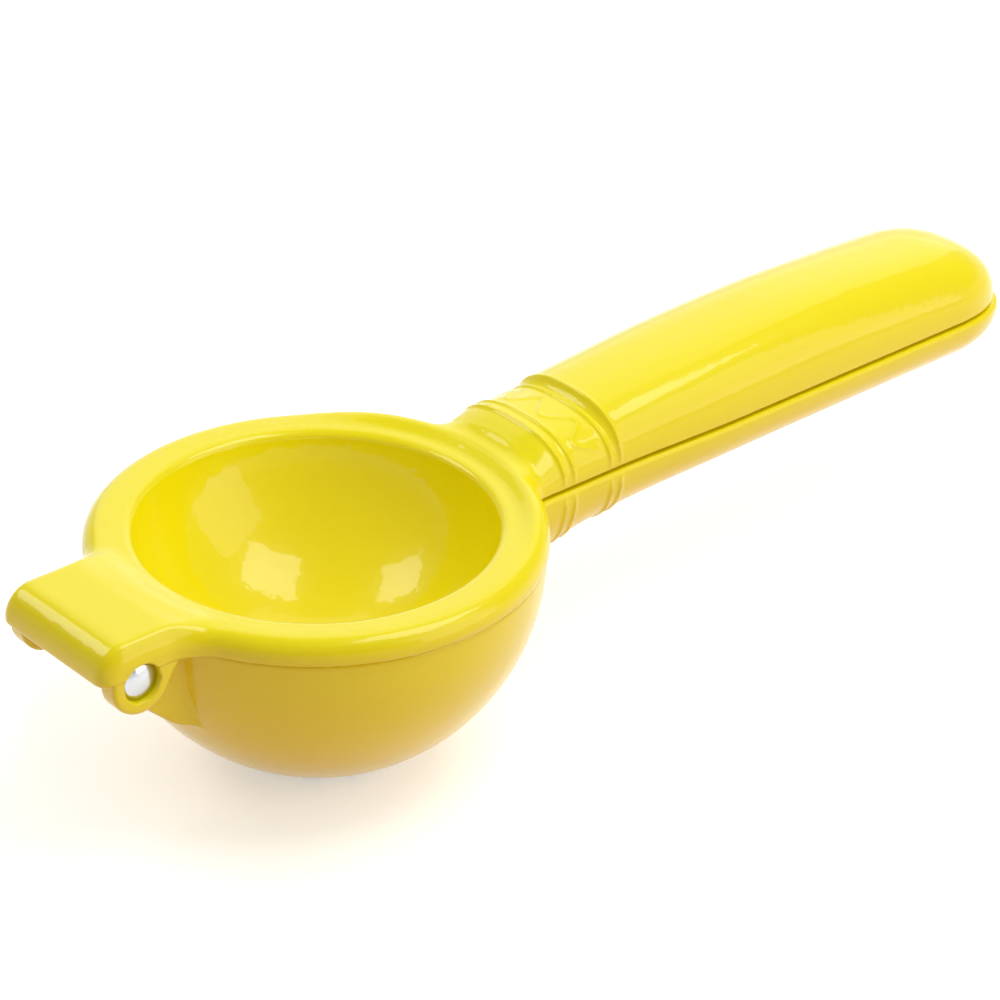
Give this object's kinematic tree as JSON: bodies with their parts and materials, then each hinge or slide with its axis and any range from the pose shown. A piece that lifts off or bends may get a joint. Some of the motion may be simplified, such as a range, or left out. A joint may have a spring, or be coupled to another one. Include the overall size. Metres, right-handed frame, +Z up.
{
  "type": "hinged lemon squeezer",
  "caption": "Hand press with hinged cast arms: a domed cup nests in a strainer bowl and squeezes a halved lemon as the long, hollow handle halves are closed.",
  "frame": {"origin": "centre of the small flat under the strainer bowl", "axes": "+X towards the end of the handle, +Z up through the cup, XZ the plane of symmetry"},
  "size_m": [0.2195, 0.0804, 0.053],
  "materials": {
    "enamel": "glossy yellow enamel over cast aluminium, with a slight orange peel",
    "steel": "polished steel with fine turning marks"
  },
  "bodies": {
    "lower": {"lower_arm": "enamel"},
    "upper": {"upper_arm": "enamel", "hinge_pin": "steel"}
  },
  "joints": [
    {"name": "hinge", "type": "hinge", "parent": "lower", "child": "upper", "pos_m": [-0.0485, 0, 0.03781], "axis": [0, -1, 0], "range_deg": [0, 100]}
  ]
}
